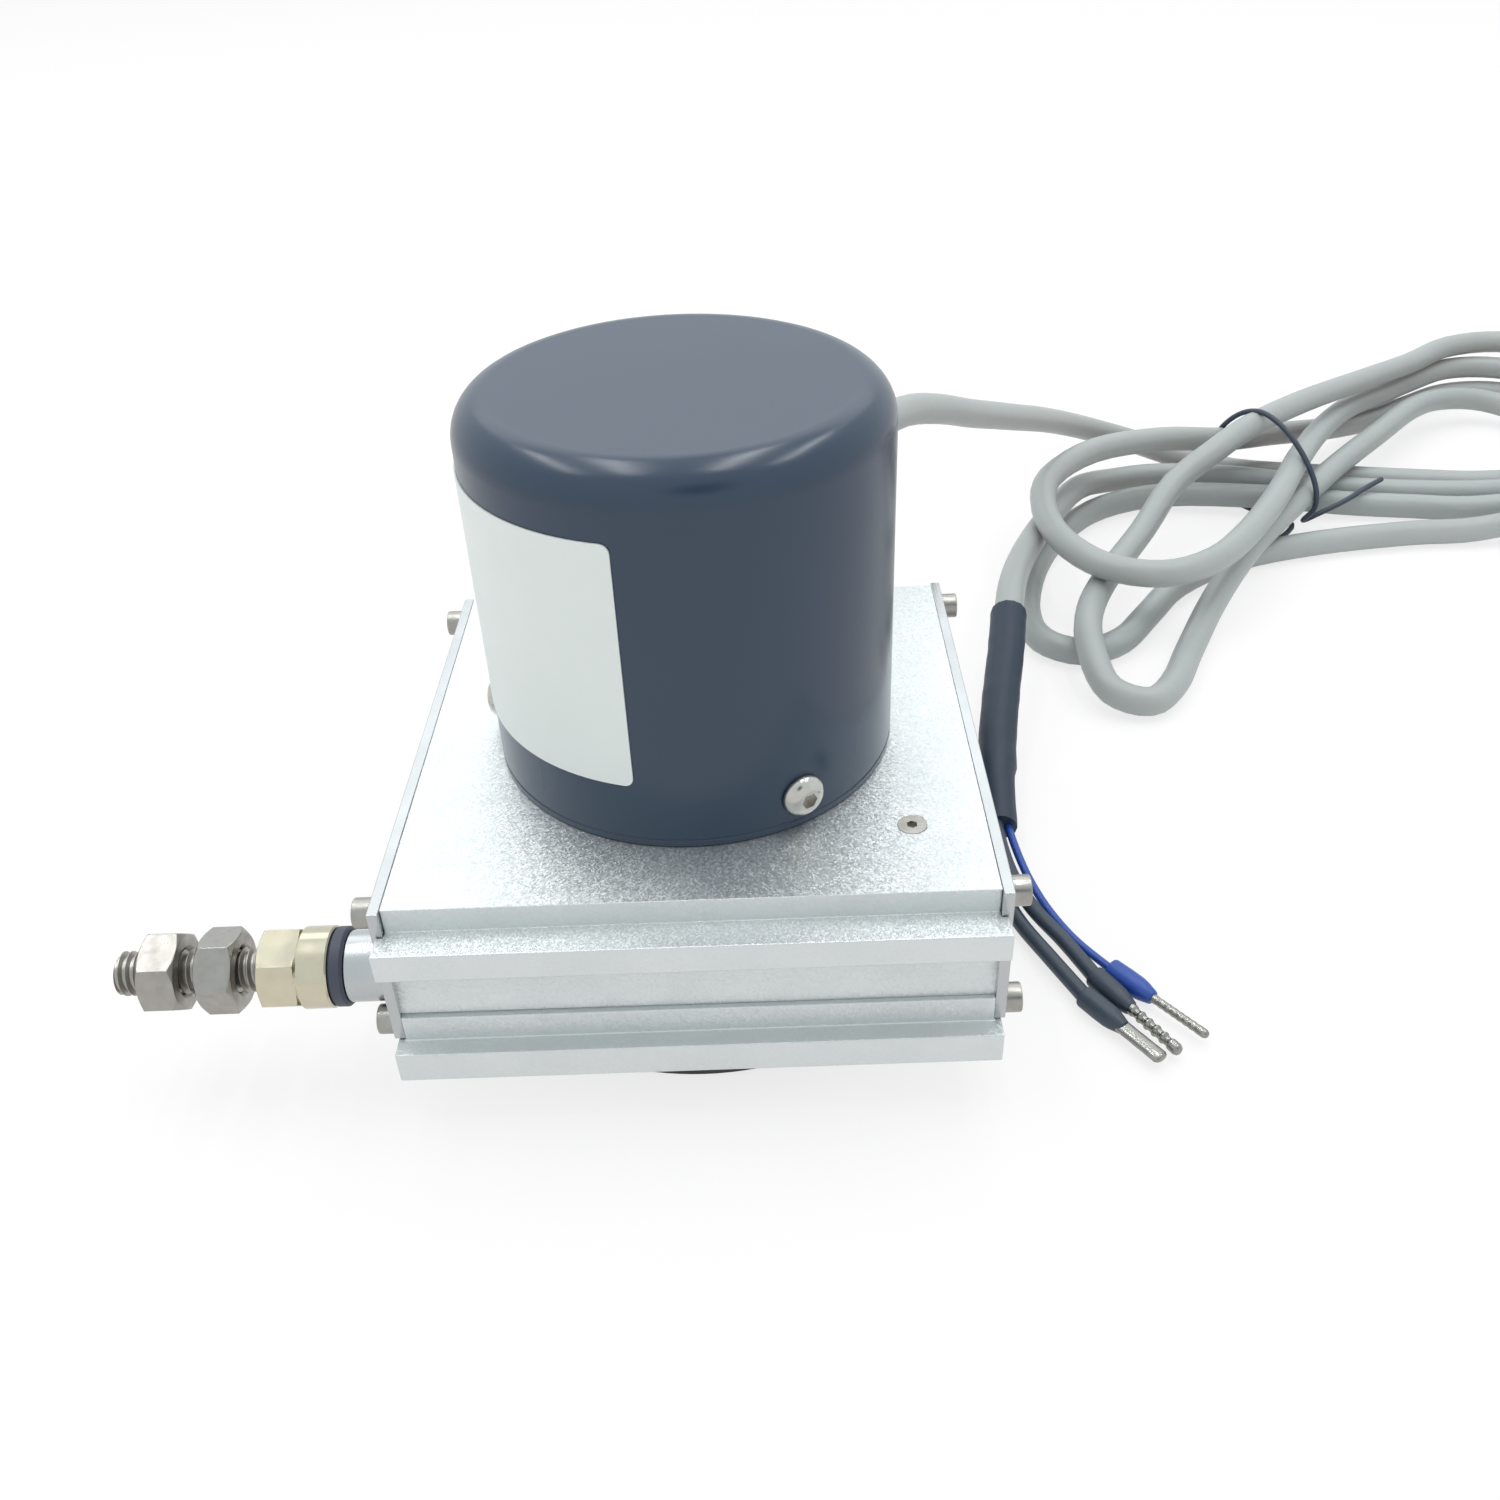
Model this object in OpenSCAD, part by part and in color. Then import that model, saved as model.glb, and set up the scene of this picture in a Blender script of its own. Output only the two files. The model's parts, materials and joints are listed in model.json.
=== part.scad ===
// Draw wire encoder: an aluminium extrusion that houses a spring-returned measuring drum,
// a capped rotary encoder on top, a pull stud on the wire and a cable with ferruled leads.
// +X to the right along the extrusion, +Y to the back, +Z up. The origin lies under the
// drum's axis, on the face that the spring case stands on.

/* [Housing] */
// Overall width across the two end plates
body_w = 80; // [76:1:90]
// Depth of the box from its front wall to its rear wall, without the flanges
body_d = 76; // [76:1:84]
// Height of the extrusion
body_h = 26; // [26:0.5:30]
// How far each flange stands out past the box
flange_reach = 4.5; // [4:0.5:6]
// Thickness of an end plate
plate_t = 1.5; // [1:0.25:2]
// Height of the spring case under the extrusion
case_h = 8; // [8:0.5:12]
// Diameter of the spring case
case_d = 74; // [72:1:76]

/* [Wire] */
// Wire paid out by one turn of the drum
turn_length = 200; // [190:5:200]
// Diameter of the stainless wire rope
rope_d = 0.8; // [0.6:0.1:0.9]
// Turns of wire on the drum when the wire is home
wire_turns = 6; // [4:1:6]

/* [Pull fitting] */
// Diameter of the outlet boss on the left end plate
boss_d = 9.5; // [9:0.5:11]
// How far the outlet boss stands out
boss_l = 6; // [4:0.5:8]
// Thickness of the rubber bumper
bumper_t = 2; // [1.5:0.5:4]
// Length of the plated collar
collar_l = 9.4; // [9:0.2:12]
// Free length of the M6 stud past the collar
stud_l = 19.6; // [16:0.2:24]

/* [Encoder] */
// Outside diameter of the cap
cap_d = 56; // [55:0.5:58]
// Height of the cap above the housing
cap_h = 52.4; // [48:0.4:60]
// Rounding of the cap's top edge
cap_round = 5.2; // [3:0.2:8]
// Wall of the cap
cap_wall = 1.6; // [1.2:0.1:1.8]
// Height of the label
label_h = 34; // [20:1:34]
// Arc that the label covers, in degrees
label_arc = 115; // [60:5:140]

/* [Cable] */
// Diameter of the signal cable
cable_d = 5.5; // [4.5:0.5:5.5]
// Diameter of the blue lead's insulation
blue_lead_d = 1.6; // [1.5:0.1:1.8]
// Diameter of a black lead's insulation
black_lead_d = 2.2; // [1.5:0.1:2.2]

/* [Hidden] */
$fn = 64;

// Heights
z_base = case_h;
z_top = z_base + body_h;
lower_flange_h = 4.8;
band_h = 3.6;
upper_flange_h = 4.3;
flange_top = z_base + lower_flange_h;
cavity_floor = z_base + 6.4;
ceiling = z_top - band_h;
upper_flange_z = ceiling - upper_flange_h;
ledge_z = z_base + 8.8;
wire_z = z_base + 10.8;

// Widths and depths
half_w = body_w / 2;
half_d = body_d / 2;
seam_x = half_w - plate_t;
flange_end_x = half_w - 0.5;
groove_low = 1.8;
groove_up = 1;
groove_sag = 0.5;
cavity_y = half_d - 3;
fit = 0.02;
slack = 0.1;

// End plates: the upper part passes behind the upper flange, the middle fills the groove, and
// the foot passes behind the lower flange
plate_up_y = half_d + 0.8;
plate_low_y = half_d + 1.6;
plate_foot_y = half_d - 0.1;
plate_z = flange_top + slack;
plate_foot_z = z_base + 3.5;

// Screws: M2 socket caps in the end plates, M3 elsewhere
m2_r = 0.95;
m2_hole = 1;
m2_head_r = 2;
m2_head_h = 2.5;
m3_r = 1.45;
m3_hole = 1.5;
upper_screw = [half_d - 2.6, z_top - 2.6];
lower_screw = [half_d - 1.6, z_base + 5.4];

// Shaft, bearings and drum
shaft_r = 4;
bearing_r = 8;
bearing_w = 4.8;
bearing_stop_r = 6;
ball_r = 1.15;
ball_pcr = 6;
ball_n = 8;
rope_r = turn_length / (2 * PI);
drum_rim_r = rope_r - rope_d / 2 - 0.03;
drum_flange_r = cavity_y - 1;
zone_h = 5.6;
drum_flange_t = 1.2;
hub_r = 9;
wire_end_x = -8;

// Pull fitting along -X
boss_x = -half_w - boss_l;
boss_spigot_r = 3;
bumper_x = boss_x - bumper_t;
collar_x = bumper_x - collar_l;
stud_x = collar_x - stud_l;
collar_r = 5.45;
collar_round_l = 4.3;
hex_af = 10;
hex_face_r = 4.85;
nut_t = 5;
stud_r = 3;
inner_nut_x = collar_x - 3.1;
outer_nut_x = collar_x - 10.6;

// Encoder
cap_r = cap_d / 2;
cap_in_r = cap_r - cap_wall;
cap_z = z_top + cap_h;
base_r = cap_in_r - slack;
base_h = 9;
spigot_r = 15;
upper_bearing_z = z_top + 2;
lower_bearing_z = z_base;
cap_screw_z = z_top + 5;
cap_screw_a = -59;
cap_screw_step = 118;
board_z = z_top + 30;
board_r = 24;
disc_z = z_top + 22;
disc_r = 18;
standoff_r = 21;
exit_a = 60;
exit_z = z_top + 23;
grommet_out = 42;
label_a = -104;
label_z = z_top + 9.7;
label_t = 0.2;
label_corner = 1.2;

// Routes, by hand: the cable's free stretch, its tail, the sleeve and the leads
exit_x = grommet_out * cos(exit_a);
exit_y = grommet_out * sin(exit_a);
cable_route = [[exit_x, exit_y, exit_z], [25.5, 44.5, 57], [30.5, 53.5, 56.3], [37, 64, 54],
    [44, 74.5, 50.3], [51, 85.5, 45.3], [58, 97, 39.2], [65, 108.5, 32.8], [73, 121.5, 26.5],
    [81, 133.5, 20.5]];
tail_route = [[67, 94, 11.5], [62, 81, 13], [59, 71, 14], [57, 62, 13.5]];
sleeve_route = [[57, 62, 13.5], [55, 52, 11.5], [52.3, 40, 9], [49.8, 27, 6.4], [47.8, 10, 4]];
blue_route = [[49, 10.5, 4.2], [49.6, 4, 3.6], [50.7, -2, 2.8], [52.6, -8, 2], [55.4, -14.5, 1.8],
    [59.3, -20.6, 1.8]];
black_a_route = [[46.9, 10.5, 5], [47, 4, 4.6], [47.9, -2, 3.6], [50.2, -8, 2.4],
    [53, -14.5, 1.8], [55.4, -22.6, 1.8]];
black_b_route = [[47.3, 10.5, 2.7], [46.4, 4, 2], [46.3, -3, 1.6], [47.6, -10, 1.6],
    [49.8, -18, 1.8], [52.2, -26.6, 1.8]];
blue_dir = -52;
black_a_dir = -61;
black_b_dir = -61;
sleeve_d = 6.8;
ferrule_l = 7.6;
ferrule_r = 1.7;
pin_l = 9.4;
pin_r = 0.8;

// The hank: near loops with one long nose, a tied waist and far loops
hank_h = 24;
near_c = [97, 105];
near_r = 38;
nose_c = [83, 60];
nose_r = 15;
far_c = [193, 154];
far_r = 38;
waist = 44;
tie_w = 3;
tie_t = 1.2;
tie_a = atan2(far_c[1] - near_c[1], far_c[0] - near_c[0]);
tie_c = near_c + 0.32 * (far_c - near_c);

// ---------- helpers ----------

// A 2D outline in Y and Z, extruded along X from x0 to x1
module along_x(x0, x1)
    translate([x0, 0, 0]) rotate([90, 0, 90]) linear_extrude(x1 - x0) children();

// A round bar along X at the wire's axis
module wire_axis(x) translate([x, -rope_r, wire_z]) rotate([0, -90, 0]) children();

// Radial placement round the drum's axis, local +X outwards
module radial(a, z) rotate([0, 0, a]) translate([0, 0, z]) children();

module ring(r_in, r_out, h) difference() {
    cylinder(r = r_out, h = h);
    translate([0, 0, -1]) cylinder(r = r_in, h = h + 2);
}

module hexagon(af) circle(d = af / cos(30), $fn = 6);

function unit(v) = v / norm(v);
function clamp_i(i, n) = min(max(i, 0), n - 1);

// Catmull-Rom point between p[i] and p[i + 1]
function spline(p, i, t) =
    let (n = len(p), a = p[clamp_i(i - 1, n)], b = p[i], c = p[i + 1], d = p[clamp_i(i + 2, n)])
    0.5 * (2 * b + (c - a) * t + (2 * a - 5 * b + 4 * c - d) * t * t
        + (3 * b - a - 3 * c + d) * t * t * t);

function smooth(p, k) = [for (i = [0 : len(p) - 2]) for (j = [0 : k - 1]) spline(p, i, j / k),
    p[len(p) - 1]];

function tangent(q, i) = unit(q[clamp_i(i + 1, len(q))] - q[clamp_i(i - 1, len(q))]);

// A round tube swept along a route; its side vector stays level
module tube(route, d, sides = 10, k = 2) {
    q = smooth(route, k);
    n = len(q);
    points = [for (i = [0 : n - 1])
        let (t = tangent(q, i), s = unit(cross(t, [0, 0, 1])), u = cross(s, t))
        for (j = [0 : sides - 1])
            q[i] + d / 2 * (cos(360 * j / sides) * s + sin(360 * j / sides) * u)];
    walls = [for (i = [0 : n - 2]) for (j = [0 : sides - 1])
        let (a = i * sides + j, b = i * sides + (j + 1) % sides)
        [a, b, b + sides, a + sides]];
    polyhedron(points, concat([[for (j = [sides - 1 : -1 : 0]) j]], walls,
        [[for (j = [0 : sides - 1]) (n - 1) * sides + j]]), convexity = 8);
}

// Countersunk or cap screws point along -Z from their seat at z = 0
module cap_screw(r, l, head_r, head_h, af) difference() {
    union() {
        translate([0, 0, -l]) cylinder(r = r, h = l + 0.01);
        cylinder(r = head_r, h = head_h);
    }
    translate([0, 0, head_h * 0.45]) linear_extrude(head_h) hexagon(af);
}

// ---------- housing ----------

// The extrusion's outline: its right side upwards, with the bowed wall of the mounting groove,
// then the same side mirrored downwards
right_side = concat(
    [[half_d + flange_reach, z_base], [half_d + flange_reach, flange_top],
        [half_d + groove_low, flange_top], [half_d + groove_low, ledge_z]],
    [for (i = [0 : 8]) let (t = i / 8)
        [half_d + groove_up - groove_sag * (1 - pow(2 * t - 1, 2)),
            ledge_z + t * (upper_flange_z - ledge_z)]],
    [[half_d + flange_reach, upper_flange_z], [half_d + flange_reach, ceiling],
        [half_d, ceiling], [half_d, z_top]]);

module housing_outline() polygon(concat(right_side,
    [for (i = [len(right_side) - 1 : -1 : 0]) [-right_side[i][0], right_side[i][1]]]));

module cavity_outline() difference() {
    translate([-cavity_y, cavity_floor]) square([2 * cavity_y, ceiling - cavity_floor]);
    for (s = [-1, 1]) translate([s * upper_screw[0], upper_screw[1]]) circle(r = 2.6, $fn = 32);
}

// What the end plate takes away from the extrusion's end
module end_rebate() {
    translate([-plate_foot_y - slack, plate_foot_z - slack])
        square([2 * plate_foot_y + 2 * slack, z_top]);
    translate([-plate_up_y - 0.15, plate_z - slack])
        square([2 * plate_up_y + 0.3, z_top]);
    translate([-half_d - 8, plate_z - slack])
        square([2 * half_d + 16, upper_flange_z - plate_z + slack]);
}

module plate_screw_places(x, turn) for (s = [-1, 1], p = [upper_screw, lower_screw])
    translate([x, s * p[0], p[1]]) rotate([0, turn, 0]) children();

module housing_extrusion() color("silver") difference() {
    along_x(-flange_end_x, flange_end_x) housing_outline();
    along_x(-half_w, half_w) cavity_outline();
    for (s = [-1, 1]) {
        along_x(min(s * seam_x, s * half_w), max(s * seam_x, s * half_w)) end_rebate();
        plate_screw_places(s * seam_x, -s * 90) cylinder(r = m2_hole, h = 8, $fn = 24);
    }
    translate([0, 0, z_base - 1]) cylinder(r = bearing_r + fit, h = bearing_w + 1);
    translate([0, 0, z_base]) cylinder(r = bearing_stop_r, h = 10);
    translate([0, 0, ceiling - 1]) cylinder(r = spigot_r + fit, h = band_h + 2);
    for (a = [45 : 90 : 315]) rotate([0, 0, a]) {
        translate([21, 0, ceiling - 1]) cylinder(r = m3_hole, h = band_h + 2, $fn = 24);
        translate([case_d / 2 - 4, 0, z_base - 1]) cylinder(r = m3_hole, h = 4.6, $fn = 24);
    }
    translate([28.7, -24.8, z_top]) {
        translate([0, 0, -6]) cylinder(r = m2_hole, h = 7, $fn = 24);
        translate([0, 0, -1.1]) cylinder(r1 = m2_hole, r2 = 2.1, h = 1.11, $fn = 32);
    }
}

module plate_outline() difference() {
    union() {
        translate([-plate_foot_y, plate_foot_z]) square([2 * plate_foot_y, z_top - plate_foot_z]);
        translate([-plate_low_y, plate_z]) square([2 * plate_low_y, upper_flange_z - plate_z - slack]);
        translate([-plate_up_y, plate_z]) square([2 * plate_up_y, z_top - plate_z]);
    }
    for (s = [-1, 1], p = [upper_screw, lower_screw])
        translate([s * p[0], p[1]]) circle(r = 1.15, $fn = 24);
}

module end_plate_left() color("silver") along_x(-half_w, -seam_x) difference() {
    plate_outline();
    translate([-rope_r, wire_z]) circle(r = boss_spigot_r, $fn = 48);
}

module end_plate_right() color("silver") along_x(seam_x, half_w) plate_outline();

module plate_screws(s) color("gainsboro") plate_screw_places(s * half_w, s * 90)
    cap_screw(m2_r, 8, m2_head_r, m2_head_h, 1.5, $fn = 24);

module end_plate_screws_left() plate_screws(-1);
module end_plate_screws_right() plate_screws(1);

// ---------- wire outlet and pull fitting ----------

module wire_outlet_boss() color("silver") difference() {
    union() {
        wire_axis(-half_w) cylinder(d = boss_d, h = boss_l);
        wire_axis(-seam_x + 3) cylinder(r = boss_spigot_r - fit, h = plate_t + 3.01);
    }
    wire_axis(-seam_x + 4) cylinder(r = 2 + fit, h = boss_l + plate_t + 6);
}

module wire_guide_bush() color("ivory") difference() {
    wire_axis(-seam_x + 3) cylinder(r = 2, h = boss_l + plate_t + 3);
    wire_axis(-seam_x + 4) cylinder(r = 0.8, h = boss_l + plate_t + 5, $fn = 32);
    wire_axis(-seam_x + 3.01) cylinder(r1 = 1.7, r2 = 0.8, h = 1.5, $fn = 32);
}

module bumper() color("dimgray") difference() {
    wire_axis(boss_x - 0.05) cylinder(r = 5.3, h = bumper_t - 0.05);
    wire_axis(boss_x + 1) cylinder(r = 0.8, h = bumper_t + 2, $fn = 32);
}

// A hexagonal bar whose corners are turned down to a cone at both ends
module hex_bar(l) intersection() {
    linear_extrude(l) hexagon(hex_af);
    rotate_extrude() polygon([[0, 0], [hex_face_r, 0], [hex_face_r + 1, 0.58],
        [hex_face_r + 1, l - 0.58], [hex_face_r, l], [0, l]]);
}

module wire_end_collar() color("tan") difference() {
    union() {
        wire_axis(bumper_x) cylinder(r = collar_r, h = collar_round_l + 0.4);
        wire_axis(bumper_x - collar_round_l) rotate([0, 0, 30]) hex_bar(collar_l - collar_round_l);
    }
    wire_axis(bumper_x + 1) cylinder(r = 0.8, h = 4, $fn = 32);
    wire_axis(bumper_x - 1.4) cylinder(r = stud_r + 0.05, h = collar_l);
}

module rope_ferrule() color("goldenrod") difference() {
    wire_axis(bumper_x - 1.4) cylinder(r = 2.4, h = 3.6);
    wire_axis(bumper_x) cylinder(r = rope_d / 2 + fit, h = 6, $fn = 24);
}

module pull_stud() color("gray") {
    wire_axis(bumper_x - 5.4) cylinder(r = stud_r, h = bumper_x - 5.4 - stud_x - 0.7);
    wire_axis(stud_x + 0.7) cylinder(r1 = stud_r, r2 = stud_r - 0.7, h = 0.7);
}

module nut() difference() {
    hex_bar(nut_t);
    translate([0, 0, -1]) cylinder(r = stud_r + 0.05, h = nut_t + 2);
}

module clamp_nuts() color("silver") {
    wire_axis(inner_nut_x) nut();
    wire_axis(outer_nut_x) rotate([0, 0, 22]) nut();
}

module draw_wire() color("lightgray")
    wire_axis(wire_end_x) cylinder(r = rope_d / 2, h = wire_end_x - bumper_x + 4.9, $fn = 16);

// ---------- drum, shaft and bearings ----------

module wound_wire() color("lightgray") rotate_extrude($fn = 128) for (i = [0 : wire_turns - 1])
    translate([rope_r, wire_z + (i - (wire_turns - 1) / 2) * rope_d])
        circle(r = rope_d / 2 + 0.01, $fn = 16);

module measuring_drum() color("lightsteelblue") difference() {
    rotate_extrude($fn = 128) difference() {
        union() {
            translate([0, cavity_floor + 0.4]) square([hub_r, ceiling - cavity_floor - 2.4]);
            translate([0, wire_z - 1.6]) square([drum_rim_r, 3.2]);
            translate([drum_rim_r - 2, wire_z - zone_h / 2]) square([2, zone_h]);
            for (z = [wire_z - zone_h / 2 - drum_flange_t, wire_z + zone_h / 2])
                translate([drum_rim_r - 2, z])
                    square([drum_flange_r - drum_rim_r + 2, drum_flange_t]);
        }
        translate([-1, 0]) square([shaft_r + fit + 1, z_top]);
    }
    for (a = [0 : 60 : 300]) rotate([0, 0, a]) translate([19, 0, wire_z - 4])
        cylinder(r = 5.5, h = 8, $fn = 48);
}

module drum_shaft() color("gainsboro") {
    translate([0, 0, 2.6]) cylinder(r = shaft_r, h = disc_z - 2.6 + 5);
    translate([0, 0, disc_z + 5]) cylinder(r1 = shaft_r, r2 = shaft_r - 0.6, h = 0.6);
}

module groove_ring(r_in, r_out) rotate_extrude() difference() {
    translate([r_in, 0]) square([r_out - r_in, bearing_w]);
    translate([ball_pcr, bearing_w / 2]) circle(r = ball_r + slack, $fn = 32);
}

module balls() for (i = [0 : ball_n - 1]) rotate([0, 0, i * 360 / ball_n])
    translate([ball_pcr, 0, bearing_w / 2]) sphere(r = ball_r, $fn = 20);

module upper_bearing_outer() color("gray") translate([0, 0, upper_bearing_z])
    groove_ring(6.8, bearing_r);
module upper_bearing_inner() color("gray") translate([0, 0, upper_bearing_z])
    groove_ring(shaft_r + fit, 5.2);
module upper_bearing_balls() color("white") translate([0, 0, upper_bearing_z]) balls();
module lower_bearing_outer() color("gray") translate([0, 0, lower_bearing_z])
    groove_ring(6.8, bearing_r);
module lower_bearing_inner() color("gray") translate([0, 0, lower_bearing_z])
    groove_ring(shaft_r + fit, 5.2);
module lower_bearing_balls() color("white") translate([0, 0, lower_bearing_z]) balls();

// ---------- spring case ----------

module spring_case() color("#2b2d30") difference() {
    rotate_extrude($fn = 128) polygon([[0, 0], [case_d / 2 - 1, 0], [case_d / 2, 1],
        [case_d / 2, case_h], [case_d / 2 - 8, case_h], [case_d / 2 - 8, 2], [0, 2]]);
    for (a = [45 : 90 : 315]) rotate([0, 0, a]) translate([case_d / 2 - 4, 0, -1]) {
        cylinder(r = 1.6, h = case_h + 2, $fn = 24);
        cylinder(r1 = 4.1, r2 = 1.6, h = 2.6, $fn = 32);
    }
}

module case_screws() color("silver") for (a = [45 : 90 : 315])
    rotate([0, 0, a]) translate([case_d / 2 - 4, 0, 0]) difference() {
        union() {
            translate([0, 0, 0.1]) cylinder(r1 = 2.9, r2 = m3_r, h = 1.5, $fn = 32);
            translate([0, 0, 1.5]) cylinder(r = m3_r, h = case_h + 1.5, $fn = 24);
        }
        translate([0, 0, 0]) linear_extrude(1) hexagon(2);
    }

// The spring strip, an even spiral from the arbor to the case wall
spring_in = 6.9;
spring_out = case_d / 2 - 8.4;
spring_turns = 9;
spring_t = 0.35;
function spiral_r(a) = spring_in + (spring_out - spring_t - spring_in) * a / (360 * spring_turns);
module power_spring() color("slategray") translate([0, 0, 2.5]) linear_extrude(case_h - 3)
    polygon(concat(
        [for (a = [0 : 15 : 360 * spring_turns]) spiral_r(a) * [cos(a), sin(a)]],
        [for (a = [360 * spring_turns : -15 : 0]) (spiral_r(a) + spring_t) * [cos(a), sin(a)]]));

module spring_arbor() color("darkgray") translate([0, 0, 2.4]) difference() {
    cylinder(r = 6.4, h = case_h - 2.9);
    translate([0, 0, -1]) cylinder(r = shaft_r + fit, h = case_h + 2);
    translate([5.2, -0.4, -1]) cube([3, 0.8, case_h + 2]);
}

// ---------- encoder ----------

module encoder_base() color("silver") difference() {
    union() {
        translate([0, 0, z_top]) cylinder(r = base_r, h = base_h, $fn = 128);
        translate([0, 0, ceiling + 0.4]) cylinder(r = spigot_r, h = band_h);
    }
    translate([0, 0, ceiling - 1]) cylinder(r = bearing_stop_r, h = band_h + 20);
    translate([0, 0, upper_bearing_z]) cylinder(r = bearing_r + fit, h = 20);
    for (a = [45 : 90 : 315]) rotate([0, 0, a]) translate([21, 0, z_top - 1]) {
        cylinder(r = 1.6, h = base_h + 2, $fn = 24);
        translate([0, 0, 6.6]) cylinder(r = 2.95, h = base_h, $fn = 32);
    }
    for (i = [0 : 2]) radial(cap_screw_a + i * cap_screw_step, cap_screw_z) translate([base_r - 8, 0, 0])
        rotate([0, 90, 0]) cylinder(r = m3_hole, h = 10, $fn = 24);
    for (i = [0 : 2]) rotate([0, 0, i * 120 + 1]) translate([standoff_r, 0, z_top + 4])
        cylinder(r = 1.25, h = base_h, $fn = 24);
}

module base_screws() color("dimgray") for (a = [45 : 90 : 315]) rotate([0, 0, a])
    translate([21, 0, z_top + 5.6]) cap_screw(m3_r, 8.6, 2.75, 3, 2.5, $fn = 24);

module bearing_retainer() color("gray") translate([0, 0, upper_bearing_z + bearing_w + 0.1])
    difference() {
        ring(6.9, bearing_r, 0.8);
        translate([5, -1.5, -1]) cube([5, 3, 3]);
    }

module disc_hub() color("silver") translate([0, 0, disc_z - 6]) difference() {
    union() {
        cylinder(r = 7, h = 6);
        cylinder(r = 6, h = 8);
    }
    translate([0, 0, -1]) cylinder(r = shaft_r + fit, h = 12);
    translate([0, 0, 3]) rotate([0, 90, 0]) cylinder(r = 1, h = 12, $fn = 24);
}

module code_disc() color("lightcyan") translate([0, 0, disc_z]) ring(6.05, disc_r, 0.8, $fn = 96);

module board_standoffs() color("gold") for (i = [0 : 2]) rotate([0, 0, i * 120 + 1])
    translate([standoff_r, 0, z_top + base_h]) difference() {
        union() {
            linear_extrude(board_z - z_top - base_h) hexagon(4);
            translate([0, 0, -4]) cylinder(r = 1.2, h = 4.1, $fn = 24);
        }
        translate([0, 0, 12]) cylinder(r = 1.25, h = 20, $fn = 24);
    }

module circuit_board() color("darkgreen") translate([0, 0, board_z]) difference() {
    cylinder(r = board_r, h = 1.6, $fn = 96);
    for (i = [0 : 2]) rotate([0, 0, i * 120 + 1]) translate([standoff_r, 0, -1])
        cylinder(r = 1.35, h = 4, $fn = 24);
}

// A fork that reads the disc's edge from above and below
module read_head() color("#303438") rotate([0, 0, 180]) difference() {
    translate([12, -5, disc_z - 4]) cube([11, 10, board_z - disc_z + 4]);
    translate([11, -6, disc_z - 1]) cube([disc_r - 9.5, 12, 2.8]);
}

module board_screws() color("silver") for (i = [0 : 2]) rotate([0, 0, i * 120 + 1])
    translate([standoff_r, 0, board_z + 1.6]) cap_screw(1.2, 6, 2.1, 1.6, 1.5, $fn = 24);

// The cap's half section: a skirt and a top joined by the rounded edge
module cap_section() difference() {
    polygon(concat([[0, z_top], [cap_r - 0.4, z_top], [cap_r, z_top + 0.4]],
        [for (i = [0 : 8]) let (a = i * 90 / 8)
            [cap_r - cap_round + cap_round * cos(a), cap_z - cap_round + cap_round * sin(a)]],
        [[0, cap_z]]));
    polygon(concat([[-1, z_top - 1], [cap_in_r, z_top - 1]],
        [for (i = [0 : 6]) let (a = i * 90 / 6, r = cap_round - cap_wall)
            [cap_in_r - r + r * cos(a), cap_z - cap_wall - r + r * sin(a)]],
        [[-1, cap_z - cap_wall]]));
}

module encoder_cap() color("#46505f") difference() {
    rotate_extrude($fn = 160) cap_section();
    for (i = [0 : 2]) radial(cap_screw_a + i * cap_screw_step, cap_screw_z) translate([20, 0, 0])
        rotate([0, 90, 0]) cylinder(r = 1.6, h = 12, $fn = 32);
    radial(exit_a, exit_z) translate([20, 0, 0]) rotate([0, 90, 0]) cylinder(r = 4, h = 12);
}

// Button heads sit on the curved skirt, so each has a flat seat a little proud of it
module cap_screws() color("silver") for (i = [0 : 2])
    radial(cap_screw_a + i * cap_screw_step, cap_screw_z) translate([cap_r + fit, 0, 0])
        rotate([0, 90, 0]) difference() {
            union() {
                translate([0, 0, -8]) cylinder(r = m3_r, h = 8.01, $fn = 24);
                rotate_extrude($fn = 48) polygon([[0, 0], [2.85, 0], [2.75, 0.5], [2.4, 1.05],
                    [1.9, 1.45], [1.3, 1.65], [0, 1.65]]);
            }
            translate([0, 0, 0.6]) linear_extrude(2) hexagon(2);
        }

// A thin sheet on the skirt, made of upright strips. An end strip is shorter by the corner's arc.
label_arc_l = label_arc * PI / 180 * cap_r;
label_steps = concat([for (t = [0 : 15 : 75]) label_corner * (1 - cos(t))],
    [for (i = [0 : 40]) label_corner + i / 40 * (label_arc_l - 2 * label_corner)],
    [for (t = [75 : -15 : 0]) label_arc_l - label_corner * (1 - cos(t))]);

function label_inset(s) = let (e = min(s, label_arc_l - s, label_corner))
    label_corner - sqrt(pow(label_corner, 2) - pow(label_corner - e, 2));

function label_column(s) = let (a = label_a - s / cap_r * 180 / PI, inset = label_inset(s))
    [for (p = [[0, inset], [label_t, inset], [label_t, label_h - inset], [0, label_h - inset]])
        [(cap_r + fit + p[0]) * cos(a), (cap_r + fit + p[0]) * sin(a), label_z + p[1]]];

module label() color("gainsboro") {
    n = len(label_steps);
    walls = [for (i = [0 : n - 2]) for (j = [0 : 3])
        [4 * i + j, 4 * i + j + 4, 4 * i + (j + 1) % 4 + 4, 4 * i + (j + 1) % 4]];
    polyhedron([for (s = label_steps) each label_column(s)],
        concat([[0, 1, 2, 3]], walls, [[for (j = [3 : -1 : 0]) 4 * n - 4 + j]]), convexity = 6);
}

module top_screw() color("silver") translate([28.7, -24.8, z_top]) difference() {
    union() {
        translate([0, 0, -5.5]) cylinder(r = m2_r, h = 5, $fn = 24);
        translate([0, 0, -1.05]) cylinder(r1 = m2_r, r2 = 2, h = 1.05, $fn = 32);
    }
    translate([0, 0, -0.6]) linear_extrude(1) hexagon(1.3);
}

// ---------- cable ----------

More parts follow.
